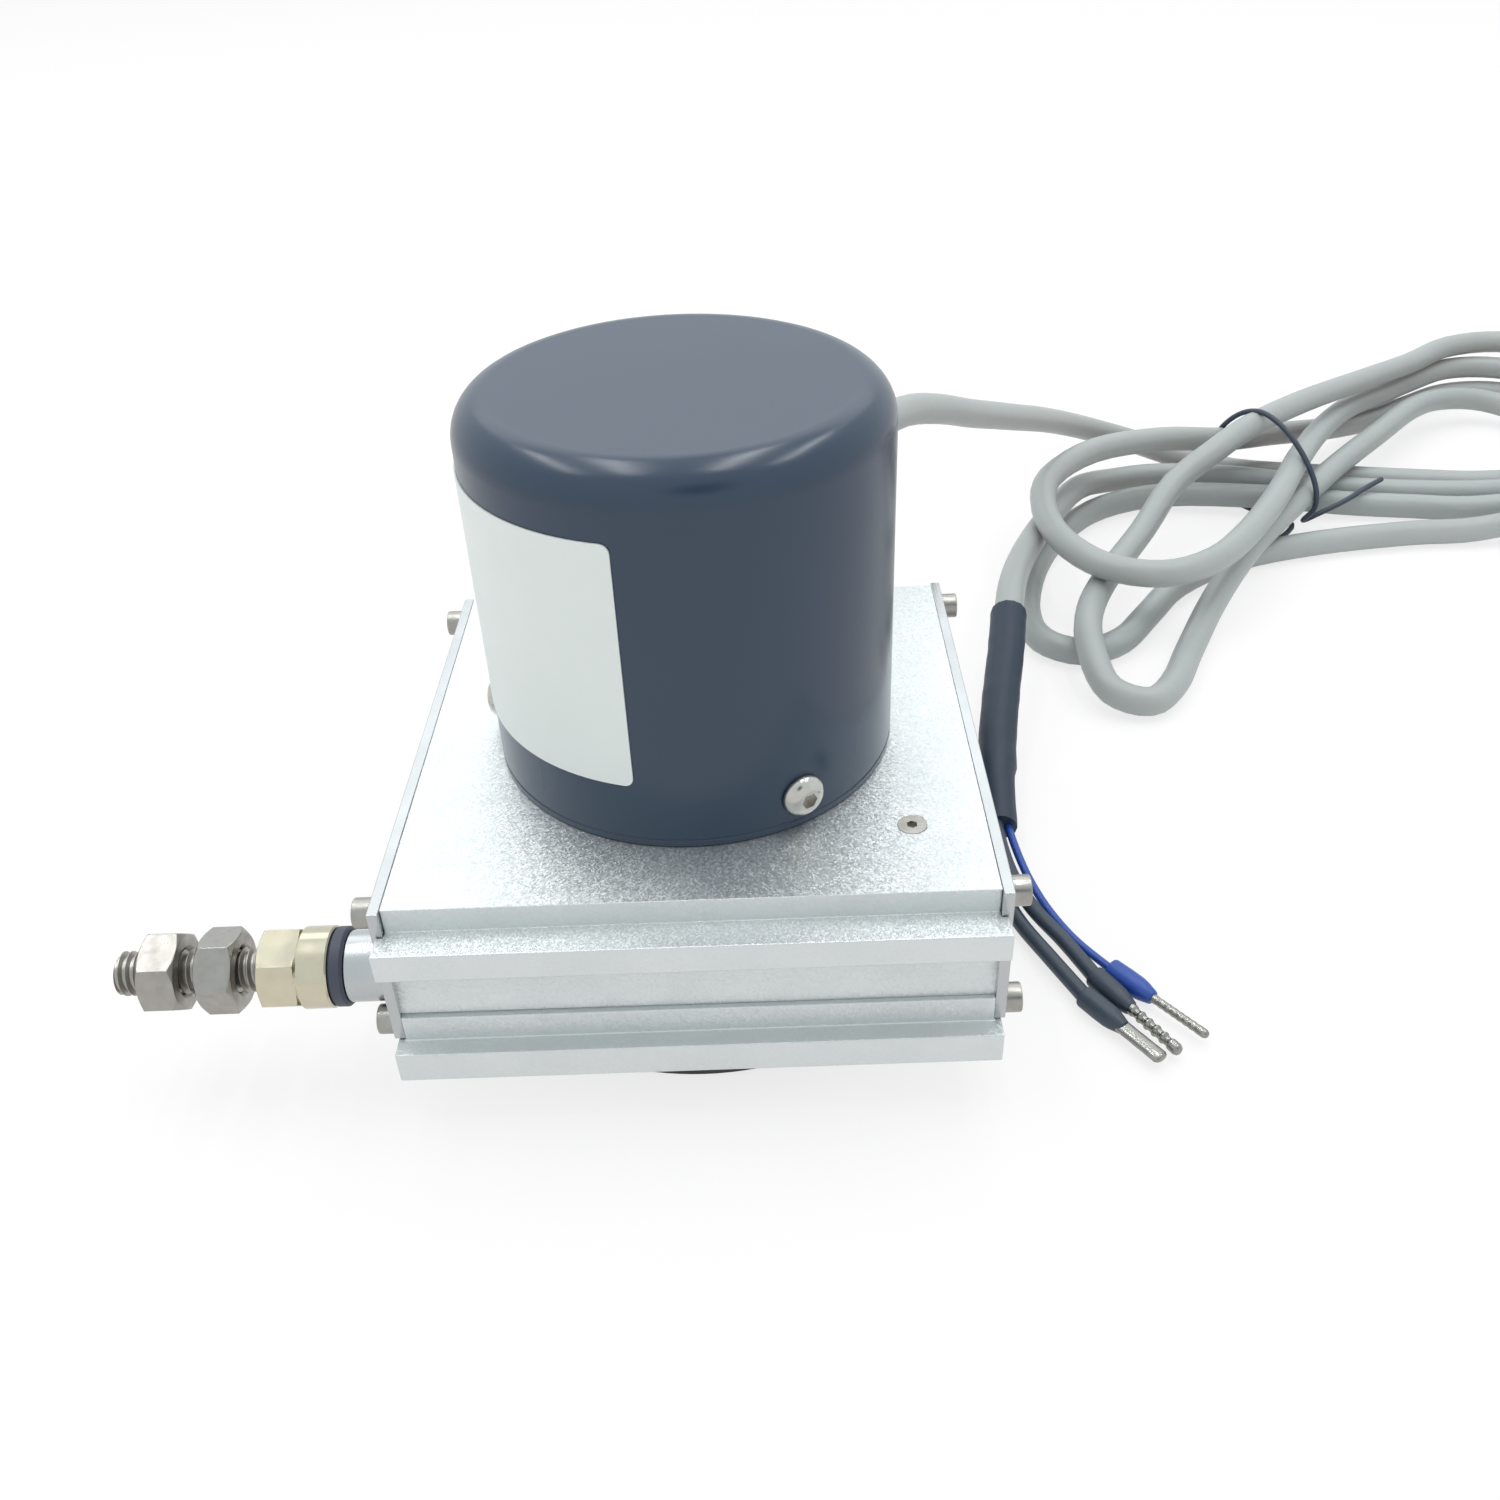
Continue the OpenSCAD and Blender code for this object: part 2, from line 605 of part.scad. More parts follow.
module cable_grommet() color("#33363a") radial(exit_a, exit_z) rotate([0, 90, 0]) difference() {
    union() {
        translate([0, 0, cap_in_r - 2]) cylinder(r = 5, h = 1.4);
        translate([0, 0, cap_in_r - 2]) cylinder(r = 3.95, h = 5);
        translate([0, 0, cap_r + 0.05]) cylinder(r = 5.5, h = 1.6);
        translate([0, 0, cap_r + 1]) cylinder(r1 = 4.8, r2 = 3.6, h = grommet_out - cap_r - 1);
    }
    translate([0, 0, cap_in_r - 3]) cylinder(r = cable_d / 2 + 0.05, h = 30);
}

module signal_cable() color("darkgray") tube(cable_route, cable_d);

module cable_tail() color("darkgray") tube(tail_route, cable_d);

// A square ring round the hank's waist
module tie_ring(w, t) translate([tie_c[0], tie_c[1], hank_h / 2]) rotate([0, 0, tie_a])
    difference() {
        cube([w, waist, hank_h], center = true);
        cube([w + 1, waist - 2 * t, hank_h - 2 * t], center = true);
    }

// The hank's loops as one closed form, with a groove round the waist for the tie
module cable_hank() color("darkgray") difference() {
    linear_extrude(hank_h) {
        hull() {
            translate(near_c) circle(r = near_r, $fn = 48);
            translate(nose_c) circle(r = nose_r, $fn = 32);
        }
        translate(far_c) circle(r = far_r, $fn = 48);
        hull() for (c = [near_c, far_c]) translate(c) circle(d = waist, $fn = 32);
    }
    tie_ring(tie_w + 2 * slack, tie_t + slack);
}

module twist_tie() color("#202224") tie_ring(tie_w, tie_t);

module shrink_sleeve() color("#3a4450") tube(sleeve_route, sleeve_d, 12);

module lead_blue() color("#2f66b8") tube(blue_route, blue_lead_d, 8);
module lead_black_a() color("#24272b") tube(black_a_route, black_lead_d, 8);
module lead_black_b() color("#24272b") tube(black_b_route, black_lead_d, 8);

// A ferrule lies along the table from the end of its lead
module ferrule_place(route, dir) translate(route[len(route) - 1]) rotate([0, 0, dir])
    rotate([0, 90, 0]) children();

module ferrule_sleeve() {
    cylinder(r = ferrule_r, h = 1, $fn = 32);
    translate([0, 0, 1]) cylinder(r1 = ferrule_r, r2 = 1.3, h = ferrule_l - 1, $fn = 32);
}

module ferrule_pin() translate([0, 0, ferrule_l]) cylinder(r = pin_r, h = pin_l, $fn = 24);

module ferrule_sleeve_blue() color("#2456d8") ferrule_place(blue_route, blue_dir) ferrule_sleeve();

module ferrule_sleeves_black() color("#26292d") {
    ferrule_place(black_a_route, black_a_dir) ferrule_sleeve();
    ferrule_place(black_b_route, black_b_dir) ferrule_sleeve();
}

module ferrule_pins() color("silver") {
    ferrule_place(blue_route, blue_dir) ferrule_pin();
    ferrule_place(black_a_route, black_a_dir) ferrule_pin();
    ferrule_place(black_b_route, black_b_dir) ferrule_pin();
}

housing_extrusion();
end_plate_left();
end_plate_right();
end_plate_screws_left();
end_plate_screws_right();
wire_outlet_boss();
wire_guide_bush();
bumper();
wire_end_collar();
rope_ferrule();
pull_stud();
clamp_nuts();
draw_wire();
wound_wire();
measuring_drum();
drum_shaft();
upper_bearing_outer();
upper_bearing_inner();
upper_bearing_balls();
lower_bearing_outer();
lower_bearing_inner();
lower_bearing_balls();
spring_case();
case_screws();
power_spring();
spring_arbor();
encoder_base();
base_screws();
bearing_retainer();
disc_hub();
code_disc();
board_standoffs();
circuit_board();
read_head();
board_screws();
encoder_cap();
cap_screws();
label();
top_screw();
cable_grommet();
signal_cable();
cable_hank();
twist_tie();
cable_tail();
shrink_sleeve();
lead_blue();
lead_black_a();
lead_black_b();
ferrule_sleeve_blue();
ferrule_sleeves_black();
ferrule_pins();
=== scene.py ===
import json
from math import cos, pi, radians, sin, sqrt

import bpy
from mathutils import Matrix, Vector


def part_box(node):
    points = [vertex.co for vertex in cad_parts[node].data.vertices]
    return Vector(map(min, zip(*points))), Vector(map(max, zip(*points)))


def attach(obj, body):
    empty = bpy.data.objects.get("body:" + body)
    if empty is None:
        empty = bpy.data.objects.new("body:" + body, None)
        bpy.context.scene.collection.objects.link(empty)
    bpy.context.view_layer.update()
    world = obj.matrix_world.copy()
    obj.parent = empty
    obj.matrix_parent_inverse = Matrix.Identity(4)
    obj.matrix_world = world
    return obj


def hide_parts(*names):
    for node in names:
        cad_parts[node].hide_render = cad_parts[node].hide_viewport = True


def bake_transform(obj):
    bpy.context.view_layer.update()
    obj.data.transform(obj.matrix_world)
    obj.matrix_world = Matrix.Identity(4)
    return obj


# A draw wire encoder: a blasted aluminium housing with a coated encoder cap on top, a plated
# pull fitting on the left and a grey cable tied in a hank on the right.
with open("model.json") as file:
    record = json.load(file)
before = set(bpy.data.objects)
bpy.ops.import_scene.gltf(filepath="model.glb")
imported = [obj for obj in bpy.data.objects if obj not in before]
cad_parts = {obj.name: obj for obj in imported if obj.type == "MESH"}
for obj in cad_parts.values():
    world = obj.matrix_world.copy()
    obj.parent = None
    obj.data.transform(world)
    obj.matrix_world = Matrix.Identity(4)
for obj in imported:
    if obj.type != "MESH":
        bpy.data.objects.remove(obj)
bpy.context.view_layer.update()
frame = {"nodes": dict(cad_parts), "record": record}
nodes = frame["nodes"]

MM = 0.001


def mm(*place):
    """A place or size given in millimetres, as a vector in metres."""
    return Vector(place) * MM


# Sizes and places that the pieces share, read from the frame
cap_low, cap_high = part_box("encoder_cap")
stud_low, stud_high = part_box("pull_stud")
collar_low, collar_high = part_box("wire_end_collar")
bumper_low, bumper_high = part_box("bumper")
wire_axis = Vector((0, (stud_low.y + stud_high.y) / 2, (stud_low.z + stud_high.z) / 2))
cap_r = (cap_high.x - cap_low.x) / 2
z_top = cap_low.z
ALONG_PULL = (0, -pi / 2, 0)


# ---------- camera ----------

def add_camera():
    """A camera just above and in front of the housing, tilted down at it."""
    data = bpy.data.cameras.new("view")
    data.lens = 33.18
    data.sensor_width = 36
    data.shift_x = -0.0083
    data.shift_y = -0.0205
    data.clip_start = 0.01
    data.clip_end = 20
    camera = bpy.data.objects.new("view", data)
    tilt = Matrix.Rotation(radians(55.04), 4, "X")
    roll = Matrix.Rotation(radians(-2.15), 4, "Z")
    heading = Matrix.Rotation(radians(0.23), 4, "Z")
    camera.matrix_world = Matrix.Translation(mm(10.21, -164.9, 149.53)) @ heading @ tilt @ roll
    bpy.context.scene.collection.objects.link(camera)
    bpy.context.scene.camera = camera


add_camera()
bpy.context.scene.view_settings.view_transform = "Standard"


# ---------- materials ----------

def linear(code):
    """An sRGB hex colour as a linear colour with full alpha."""
    parts = [int(code[i:i + 2], 16) / 255 for i in (1, 3, 5)]
    return (*[p / 12.92 if p <= 0.04045 else ((p + 0.055) / 1.055) ** 2.4 for p in parts], 1)


def add(tree, kind, sockets=None, **settings):
    """Adds a shader node; each socket gets a value or a link from another node's output."""
    made = tree.nodes.new("ShaderNode" + kind)
    for name, value in settings.items():
        setattr(made, name, value)
    for name, value in (sockets or {}).items():
        if isinstance(value, bpy.types.NodeSocket):
            tree.links.new(value, made.inputs[name])
        else:
            made.inputs[name].default_value = value
    return made


def surface(name, colour, shade, patch_mm, roughness, spread=0.04, grain_mm=0.4, depth_mm=0.004,
            relief=None, facet_mm=None, lean=0.24, **shader):
    """A finish: two close shades drift in patches, the gloss drifts by spread, and a fine
    grain is raised depth_mm. relief adds a pattern's height, in millimetres, to the grain.
    Blasting leaves facets facet_mm wide, each of which leans its own way."""
    material = bpy.data.materials.new(name)
    material.use_nodes = True
    tree = material.node_tree
    tree.nodes.clear()
    place = add(tree, "TexCoord").outputs["Object"]
    patches = add(tree, "TexNoise", {"Vector": place, "Scale": 1 / (patch_mm * MM), "Detail": 3.0})
    drift = patches.outputs["Fac"]
    tint = add(tree, "Mix", {0: drift, 6: linear(colour), 7: linear(shade)}, data_type="RGBA")
    gloss = add(tree, "MapRange", {"Value": drift, "From Min": 0.3, "From Max": 0.7,
                                   "To Min": roughness - spread, "To Max": roughness + spread})
    grain = add(tree, "TexNoise", {"Vector": place, "Scale": 1 / (grain_mm * MM), "Detail": 2.0})
    height = add(tree, "Math", {0: grain.outputs["Fac"], 1: depth_mm * MM}, operation="MULTIPLY")
    if relief:
        height = add(tree, "Math", {0: height.outputs[0], 1: relief(tree, place)}, operation="ADD")
    bump = add(tree, "Bump", {"Height": height.outputs[0], "Distance": 1.0, "Strength": 1.0})
    normal = bump
    if facet_mm:
        cells = add(tree, "TexVoronoi", {"Vector": place, "Scale": 1 / (facet_mm * MM)})
        side = add(tree, "VectorMath", {0: cells.outputs["Color"], 1: (0.5, 0.5, 0.5)},
                   operation="SUBTRACT")
        leaning = add(tree, "VectorMath", {0: side.outputs[0], 1: (lean, lean, lean),
                                           2: bump.outputs[0]}, operation="MULTIPLY_ADD")
        normal = add(tree, "VectorMath", {0: leaning.outputs[0]}, operation="NORMALIZE")
    skin = add(tree, "BsdfPrincipled", {"Base Color": tint.outputs[2],
                                        "Roughness": gloss.outputs[0],
                                        "Normal": normal.outputs[0], **shader})
    add(tree, "OutputMaterial", {"Surface": skin.outputs[0]})
    return material


WAVE_LENGTH = 0.314


def rings(axis, spacing_mm, depth_mm):
    """Tool marks: fine rings a spacing apart along an axis. At scale 1, Blender's wave
    repeats every WAVE_LENGTH."""
    def relief(tree, place):
        scale = WAVE_LENGTH / (spacing_mm * MM)
        wave = add(tree, "TexWave", {"Vector": place, "Scale": scale,
                                     "Distortion": 1.5, "Detail": 1.0},
                   wave_type="BANDS", bands_direction=axis)
        return add(tree, "Math", {0: wave.outputs["Fac"], 1: depth_mm * MM},
                   operation="MULTIPLY").outputs[0]
    return relief


def strands(pitch_mm, count, depth_mm):
    """Wire rope: strands wound round the pull axis."""
    def relief(tree, place):
        centred = add(tree, "Mapping", {"Vector": place, "Location": -wire_axis})
        turned_round = add(tree, "Mapping", {"Vector": centred.outputs[0],
                                             "Rotation": (0, pi / 2, 0)})
        angle = add(tree, "TexGradient", {"Vector": turned_round.outputs[0]},
                    gradient_type="RADIAL")
        along = add(tree, "SeparateXYZ", {"Vector": place})
        turns = add(tree, "Math", {0: along.outputs[0], 1: 1 / (pitch_mm * MM)},
                    operation="MULTIPLY")
        phase = add(tree, "Math", {0: angle.outputs["Fac"], 1: float(count), 2: turns.outputs[0]},
                    operation="MULTIPLY_ADD")
        wave = add(tree, "Math", {0: phase.outputs[0], 1: 1.0}, operation="PINGPONG")
        return add(tree, "Math", {0: wave.outputs[0], 1: depth_mm * MM},
                   operation="MULTIPLY").outputs[0]
    return relief


METAL = {"Metallic": 1.0}

finishes = {
    # Natural anodised 6063 extrusion, fine-blasted: a bright sparkling grit of about 0.3 mm
    "blasted_aluminium": surface("blasted_aluminium", "#e3e7e7", "#dce0e0", 9, 0.5, 0.03,
                                 2, 0.004, facet_mm=0.22, **METAL),
    # Aluminium sheet and bar, cut and lightly turned: satin with faint tool rings
    "satin_aluminium": surface("satin_aluminium", "#c6c9ca", "#bcbfc0", 6, 0.26, 0.05,
                               0.5, 0.004, rings("X", 0.45, 0.003), **METAL),
    # Bright zinc on machined steel: smooth with a slightly cloudy passivation
    "zinc_steel": surface("zinc_steel", "#b6b3ae", "#9b9892", 1.6, 0.33, 0.07, 0.35, 0.006,
                          **METAL),
    # The same plating on a polished button head: brighter
    "bright_zinc": surface("bright_zinc", "#d2cfc9", "#bbb8b2", 1.6, 0.2, 0.05, 0.3, 0.004,
                           **METAL),
    # Nickel on brass: warm cream metal that stays smooth between faint wipe marks
    "nickel_brass": surface("nickel_brass", "#d9d3c0", "#c6bda4", 3, 0.17, 0.05, 0.6, 0.003,
                            **METAL),
    # Satin dark blue-grey coating on spun aluminium: soft broad highlights, hardly any peel
    "cap_coating": surface("cap_coating", "#22354a", "#26394e", 14, 0.24, 0.02, 0.7, 0.002,
                           **{"IOR": 1.55}),
    # Silver-grey film, bare: a matt face with a faint waviness from the adhesive
    "label_film": surface("label_film", "#dee5e3", "#d8e0de", 10, 0.42, 0.05, 4, 0.012,
                          **{"IOR": 1.46}),
    # Black glass-filled nylon: matt with a fine moulded texture
    "black_plastic": surface("black_plastic", "#1d2023", "#25282c", 6, 0.5, 0.06, 0.3, 0.012,
                             **{"IOR": 1.53}),
    # Dark blue-grey elastomer: soft sheen, slightly dusty
    "black_rubber": surface("black_rubber", "#3a404d", "#444a58", 3, 0.5, 0.06, 0.25, 0.008,
                            **{"IOR": 1.5}),
    # Natural acetal: milky, waxy and a little see-through
    "guide_plastic": surface("guide_plastic", "#e6e0d0", "#ddd6c4", 2, 0.38, 0.04, 0.4, 0.003,
                             **{"IOR": 1.48, "Subsurface Weight": 0.1}),
    # 7x7 stainless rope: fine strands wound round the pull axis
    "rope_steel": surface("rope_steel", "#b4b8ba", "#8f9497", 0.8, 0.28, 0.08, 0.1, 0.004,
                          strands(5, 6, 0.06), **METAL),
    # Ground and honed bearing steel: near mirror
    "bearing_steel": surface("bearing_steel", "#c9ccd0", "#bfc3c7", 3, 0.12, 0.04, 0.2, 0.001,
                             **METAL),
    # Tempered spring strip: blue-grey oxide with a rolled sheen
    "spring_steel": surface("spring_steel", "#6f7883", "#8b929b", 4, 0.3, 0.06, 0.3, 0.003,
                            rings("Z", 0.3, 0.002), **METAL),
    # Glass-epoxy board under green solder mask, its cloth just telegraphing through
    "board_laminate": surface("board_laminate", "#1c5533", "#22603a", 2, 0.32, 0.05, 0.5, 0.01,
                              rings("Y", 0.5, 0.004), **{"IOR": 1.55}),
    # Clear polycarbonate disc
    "disc_glass": surface("disc_glass", "#dfe9e6", "#d6e2df", 6, 0.06, 0.02, 1, 0.001,
                          **{"IOR": 1.58, "Transmission Weight": 0.85}),
    # Plain turned brass
    "crimp_brass": surface("crimp_brass", "#c09a52", "#a98443", 1, 0.25, 0.06, 0.2, 0.003,
                           rings("X", 0.3, 0.002), **METAL),
    # Grey PVC sheath: satin, with the soft unevenness of an extruded jacket over twisted cores
    "cable_pvc": surface("cable_pvc", "#9aa2a2", "#a4acab", 9, 0.4, 0.06, 2.2, 0.05,
                         **{"IOR": 1.53, "Subsurface Weight": 0.05}),
    # Polyolefin heat-shrink: dark, half glossy, with small shrink wrinkles
    "sleeve_plastic": surface("sleeve_plastic", "#16283a", "#1e3143", 5, 0.5, 0.06, 1.2, 0.02,
                              **{"IOR": 1.5}),
    # Blue PVC insulation and moulded ferrule collar: strong colour, glossy
    "blue_insulation": surface("blue_insulation", "#1c449a", "#2550a6", 2, 0.38, 0.05, 0.5, 0.004,
                               **{"IOR": 1.53}),
    # Black PVC insulation: glossy with a bluish cast
    "black_insulation": surface("black_insulation", "#2c3845", "#344150", 2, 0.42, 0.06, 0.5,
                                0.006, **{"IOR": 1.53}),
    # Tin-plated copper tube: soft bright metal with crimp dents
    "tinned_copper": surface("tinned_copper", "#a9a8a4", "#87867f", 0.7, 0.28, 0.08, 0.4, 0.006,
                             **METAL),
}


def finish(obj, slot):
    """Gives an object one of the finishes as its only material."""
    obj.data.materials.clear()
    obj.data.materials.append(finishes[slot])


# ---------- modelling, as by hand ----------

def only(obj):
    """Leaves edit mode and selects this object alone."""
    if bpy.context.mode == "EDIT_MESH":
        bpy.ops.object.mode_set(mode="OBJECT")
    bpy.ops.object.select_all(action="DESELECT")
    obj.select_set(True)
    bpy.context.view_layer.objects.active = obj


def start_editing(obj, mode="VERT"):
    """Opens this object alone for editing, with all of it selected."""
    only(obj)
    bpy.ops.object.mode_set(mode="EDIT")
    bpy.ops.mesh.select_mode(type=mode)
    bpy.ops.mesh.select_all(action="SELECT")


def settle(obj, at=(0, 0, 0), turn=(0, 0, 0), angle=30):
    """Ends editing, puts the piece's place and turn into its mesh and smooths its round faces."""
    only(obj)
    obj.rotation_euler = turn
    obj.location = Vector(obj.location) + Vector(at)
    bpy.ops.object.transform_apply(location=True, rotation=True, scale=True)
    bpy.ops.object.shade_smooth_by_angle(angle=radians(angle))
    return obj


def polyline(name, points):
    """A plane merged to one corner, which is then extruded from point to point."""
    bpy.ops.object.select_all(action="DESELECT")
    bpy.ops.mesh.primitive_plane_add(size=MM, enter_editmode=True)
    bpy.ops.mesh.select_mode(type="VERT")
    bpy.ops.mesh.select_all(action="SELECT")
    bpy.ops.mesh.merge(type="CENTER")
    bpy.ops.transform.translate(value=points[0])
    for a, b in zip(points, points[1:]):
        bpy.ops.mesh.extrude_region_move(TRANSFORM_OT_translate={"value": b - a})
    bpy.context.object.name = name
    return bpy.context.object


def close_up():
    """Merges corners that meet and turns all faces outwards."""
    bpy.ops.mesh.select_all(action="SELECT")
    bpy.ops.mesh.remove_doubles(threshold=1e-6)
    bpy.ops.mesh.normals_make_consistent(inside=False)


def turned(name, profile, steps=64, **place):
    """A turned piece: its profile of (radius, height) in millimetres, spun round Z."""
    obj = polyline(name, [mm(r, 0, z) for r, z in profile])
    bpy.ops.mesh.select_all(action="SELECT")
    bpy.ops.mesh.spin(steps=steps, angle=2 * pi, center=(0, 0, 0), axis=(0, 0, 1))
    close_up()
    return settle(obj, **place)


def apply_modifier(obj, kind, **settings):
    """Adds a modifier with these settings and makes its result the object's own mesh."""
    only(obj)
    made = obj.modifiers.new(kind.lower(), kind)
    for name, value in settings.items():
        setattr(made, name, value)
    bpy.ops.object.modifier_apply(modifier=made.name)


def combine(obj, tool, operation="DIFFERENCE"):
    """Cuts the tool out of the piece, or keeps only what lies inside both."""
    apply_modifier(obj, "BOOLEAN", object=tool, operation=operation, solver="EXACT")
    bpy.data.objects.remove(tool)
    return settle(obj)


def joined(name, objs):
    """One piece made of several."""
    only(objs[0])
    for obj in objs[1:]:
        obj.select_set(True)
    if len(objs) > 1:
        bpy.ops.object.join()
    objs[0].name = name
    return objs[0]


def copies(obj, name, matrices):
    """One piece made of copies of another, each with its own mesh."""
    made = []
    for matrix in matrices:
        one = obj.copy()
        one.data = obj.data.copy()
        one.data.transform(matrix)
        bpy.context.scene.collection.objects.link(one)
        made.append(one)
    bpy.data.objects.remove(obj)
    return joined(name, made)


def eased(source, name, width_mm=0.2, shortest_mm=2.0, angle=30, segments=2):
    """A copy of a CAD node whose longer sharp edges get a small round, as real ones have."""
    obj = bpy.data.objects.new(name, nodes[source].data.copy())
    bpy.context.scene.collection.objects.link(obj)
    start_editing(obj)
    bpy.ops.mesh.remove_doubles(threshold=2e-6)
    bpy.ops.mesh.dissolve_limited(angle_limit=radians(0.5))
    if width_mm:
        bpy.ops.mesh.select_mode(type="EDGE")
        bpy.ops.mesh.select_all(action="DESELECT")
        bpy.ops.mesh.edges_select_sharp(sharpness=radians(angle))
        bpy.ops.object.mode_set(mode="OBJECT")
        corners = obj.data.vertices
        for edge in obj.data.edges:
            a, b = edge.vertices
            long_enough = (corners[a].co - corners[b].co).length > shortest_mm * MM
            edge.select = edge.select and long_enough
        bpy.ops.object.mode_set(mode="EDIT")
        bpy.ops.mesh.bevel(offset=width_mm * MM, segments=segments, affect="EDGES")
    bpy.ops.object.mode_set(mode="OBJECT")
    return settle(obj, angle=angle)


def dress(obj, body, slot, *replaced, looks=None):
    """Gives a finished piece its body and its material, and hides the CAD nodes that it stands
    for.
    looks names a finish other than the slot's own."""
    if obj.type == "MESH":
        # Flat faces stay flat beside the rounds on their edges
        apply_modifier(obj, "WEIGHTED_NORMAL", keep_sharp=True)
    finish(obj, looks or slot)
    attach(obj, body)
    if replaced:
        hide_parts(*replaced)
    return obj


for part in frame["record"]["subparts"]:
    finish(nodes[part["node"]], part["material_slot"])


# ---------- the cable and what is on it ----------

def smooth(points, k=4):
    """A Catmull-Rom curve through the points, with k steps between each pair."""
    made = []
    last = len(points) - 1
    for i in range(last):
        a, b, c, d = points[max(i - 1, 0)], points[i], points[i + 1], points[min(i + 2, last)]
        for j in range(k):
            t = j / k
            made.append(0.5 * (2 * b + (c - a) * t + (2 * a - 5 * b + 4 * c - d) * t ** 2
                               + (3 * b - a - 3 * c + d) * t ** 3))
    return made + [points[last]]


def strand(name, route, diameter, k=4, thickness=None):
    """A curve piece along a route in millimetres; thickness(t) scales it from end to end."""
    points = smooth([mm(*p) for p in route], k)
    data = bpy.data.curves.new(name, "CURVE")
    data.dimensions = "3D"
    data.bevel_depth = diameter / 2
    data.bevel_resolution = 5
    data.use_fill_caps = True
    line = data.splines.new("POLY")
    line.points.add(len(points) - 1)
    for i, place in enumerate(points):
        line.points[i].co = (*place, 1)
        line.points[i].radius = thickness(i / (len(points) - 1)) if thickness else 1.0
    line.use_smooth = True
    made = bpy.data.objects.new(name, data)
    bpy.context.scene.collection.objects.link(made)
    return made


CABLE_D = 5.5 * MM

# The route, in millimetres: out of the grommet, down to the table and through the hank, which
# is folded four times to the right and three times to the left, and out to the sleeve
cable_in = [(21, 36.37, 57), (25.5, 44.5, 57), (30.5, 53.5, 56.6), (37, 64, 54.4),
            (44, 74.5, 50), (51, 85.5, 44.4), (58, 97, 38.9), (65, 108.5, 33.4),
            (73, 121.5, 27.2), (81, 133.5, 20.9), (90, 143, 14.9), (101, 148.5, 9.4),
            (113, 147, 5.4), (126, 143.5, 3), (145, 138.5, 3), (164, 134.5, 3)]
far_fold_a = [(180, 132, 3), (195, 133.5, 3), (206, 140.5, 3), (211, 152, 3.5),
              (208.5, 165, 4.5), (199, 173, 6), (187, 171.5, 7.5)]
front_loop = [(176, 164, 8.5), (162, 149, 9), (145, 131, 9), (127.5, 110.5, 9),
              (113.5, 94, 8), (102.5, 79, 5), (93.5, 63.5, 3), (87.5, 52, 3), (81.5, 46, 3),
              (74.5, 48, 4.5), (72.5, 56, 7), (73.5, 66, 9), (79, 79, 9.5), (92, 100, 10),
              (101.5, 113, 14.5), (112, 120, 19), (123, 129, 21), (140, 144, 20),
              (160, 162, 17), (180, 179, 14.5)]
far_fold_b = [(194, 189.5, 14.5), (209, 192, 14.5), (221, 184.5, 14.5), (227, 170, 14.5),
              (225.5, 153, 14), (217.5, 136, 13.5), (204, 121, 11), (187, 110.5, 6.5),
              (170, 108, 3.5)]
low_loop = [(154.5, 108, 3), (133, 105, 3), (113, 99, 3), (98, 89, 3), (88.5, 77, 3),
            (81, 67.5, 3), (72.5, 64, 3), (65.5, 69, 3), (64.5, 80, 3), (69, 97, 3),
            (78, 114, 3), (90, 126, 3), (106, 130, 3.6), (128, 126, 4.2), (145, 123, 3.4),
            (159.5, 121, 3)]
far_fold_c = [(173, 119, 3), (188, 119, 4.6), (201, 123.5, 7.5), (212.5, 133, 9),
              (220.5, 146.5, 9), (223.5, 163, 9), (219, 178.5, 9), (208, 187.5, 9),
              (194.5, 188, 9)]
top_loop = [(181.5, 181, 8.5), (171, 172.5, 9), (158, 161, 10.5), (144, 142, 13),
            (132.5, 123.5, 14.5), (122.5, 106, 15), (111, 89, 15), (100, 77, 15),
            (89, 72.5, 15), (78.5, 76.5, 15), (72, 87, 15.5), (70.5, 100, 16.5),
            (74, 112.5, 17.5), (86, 123.5, 18.5), (103, 130.5, 17.5), (119, 136, 14.5),
            (135, 147, 10.5), (153, 159, 6), (168, 169, 3.5)]
far_fold_d = [(181, 178, 3), (194, 185.5, 3), (207, 186, 3), (217, 178.5, 3), (221, 165, 3),
              (218, 150.5, 3), (209.5, 138, 3), (197, 130.5, 3), (181, 127, 3)]
cable_out = [(162, 128.5, 3), (142, 131.5, 3.6), (123, 137, 4.2), (107, 140.5, 3.8),
             (94, 136, 5), (83, 124, 9), (73.5, 108, 10), (67, 94, 11.5), (62, 81, 13),
             (59, 71, 14), (57, 62, 13.5)]
cable_route = (cable_in + far_fold_a + front_loop + far_fold_b + low_loop + far_fold_c
               + top_loop + far_fold_d + cable_out)
cable = dress(strand("cable_run", cable_route, CABLE_D), "housing", "cable_pvc",
              "signal_cable", "cable_hank", "cable_tail")


def sleeve_thickness(t):
    """The heat-shrink grips the cable, then steps down to the leads, with small wrinkles."""
    step_starts, step_length, step_depth, taper = 0.8, 0.03, 0.14, 0.04
    step = min(max((t - step_starts) / step_length, 0), 1)
    wrinkles = 0.008 * sin(41 * t) + 0.006 * sin(67 * t)
    return 1 - step_depth * step - taper * t + wrinkles


sleeve_route = [(57, 62, 13.5), (55, 52, 11.5), (52.3, 40, 9), (49.8, 27, 6.4),
                (47.8, 10, 4)]
sleeve = dress(strand("heat_shrink_sleeve", sleeve_route, 6.8 * MM, 10, sleeve_thickness),
               "housing", "sleeve_plastic", "shrink_sleeve")

# The tie: the middle of the bundle's waist, and how far its loop is turned round Z
TIE_X, TIE_Y = 131, 118
TIE_TURN = radians(33)


def tie_point(across, height):
    """A point on the tie's loop, in the plane square to the strands that it binds."""
    return (TIE_X - across * sin(TIE_TURN), TIE_Y + across * cos(TIE_TURN), height)


